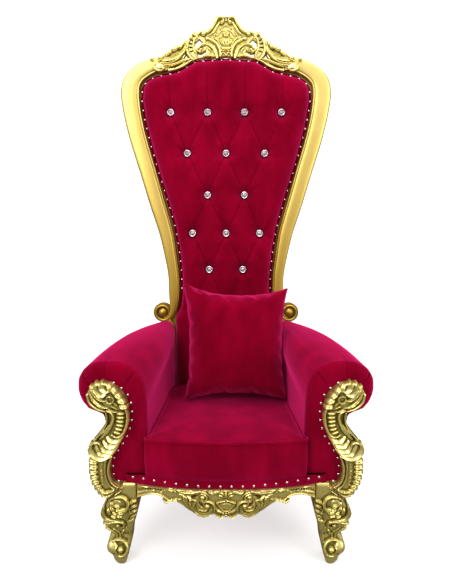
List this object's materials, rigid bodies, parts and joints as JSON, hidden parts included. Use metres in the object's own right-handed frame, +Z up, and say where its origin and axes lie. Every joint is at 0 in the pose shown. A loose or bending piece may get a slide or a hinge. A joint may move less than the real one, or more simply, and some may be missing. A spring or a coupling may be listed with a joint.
{
  "type": "throne",
  "caption": "Tall button-tufted velvet throne with a gilded carved frame, scrolled arms, pierced crest, seat cushion and a loose square pillow.",
  "frame": {"origin": "centre of the box round the whole throne, on the floor", "axes": "+Z up, the front of the seat faces -Y, +X to the right as seen from the front"},
  "size_m": [0.9106, 0.8114, 1.836],
  "materials": {
    "carved_gilding": "carved wood under polished gold leaf paint, darker in the recesses",
    "smooth_gilding": "smooth moulded wood under satin gold leaf paint",
    "crimson_velvet": "crimson velvet with a pink sheen on the nap",
    "button_crystal": "faceted clear crystal",
    "nail_silver": "domed upholstery nails, bright silver"
  },
  "bodies": {
    "root": {"apron": "carved_gilding", "arm_carving_left": "carved_gilding", "arm_carving_right": "carved_gilding", "arm_pad_left": "crimson_velvet", "arm_pad_right": "crimson_velvet", "back_button_01": "button_crystal", "back_button_02": "button_crystal", "back_button_03": "button_crystal", "back_button_04": "button_crystal", "back_button_05": "button_crystal", "back_button_06": "button_crystal", "back_button_07": "button_crystal", "back_button_08": "button_crystal", "back_button_09": "button_crystal", "back_button_10": "button_crystal", "back_button_11": "button_crystal", "back_button_12": "button_crystal", "back_button_13": "button_crystal", "back_button_14": "button_crystal", "back_button_15": "button_crystal", "back_button_16": "button_crystal", "back_button_17": "button_crystal", "back_frame": "smooth_gilding", "back_pad": "crimson_velvet", "back_panel": "crimson_velvet", "crest": "carved_gilding", "front_leg_left": "carved_gilding", "front_leg_right": "carved_gilding", "pillow": "crimson_velvet", "rear_leg_left": "smooth_gilding", "rear_leg_right": "smooth_gilding", "rear_rail": "smooth_gilding", "seat_base": "crimson_velvet", "seat_cushion": "crimson_velvet", "side_rail_left": "smooth_gilding", "side_rail_right": "smooth_gilding"}
  },
  "joints": []
}
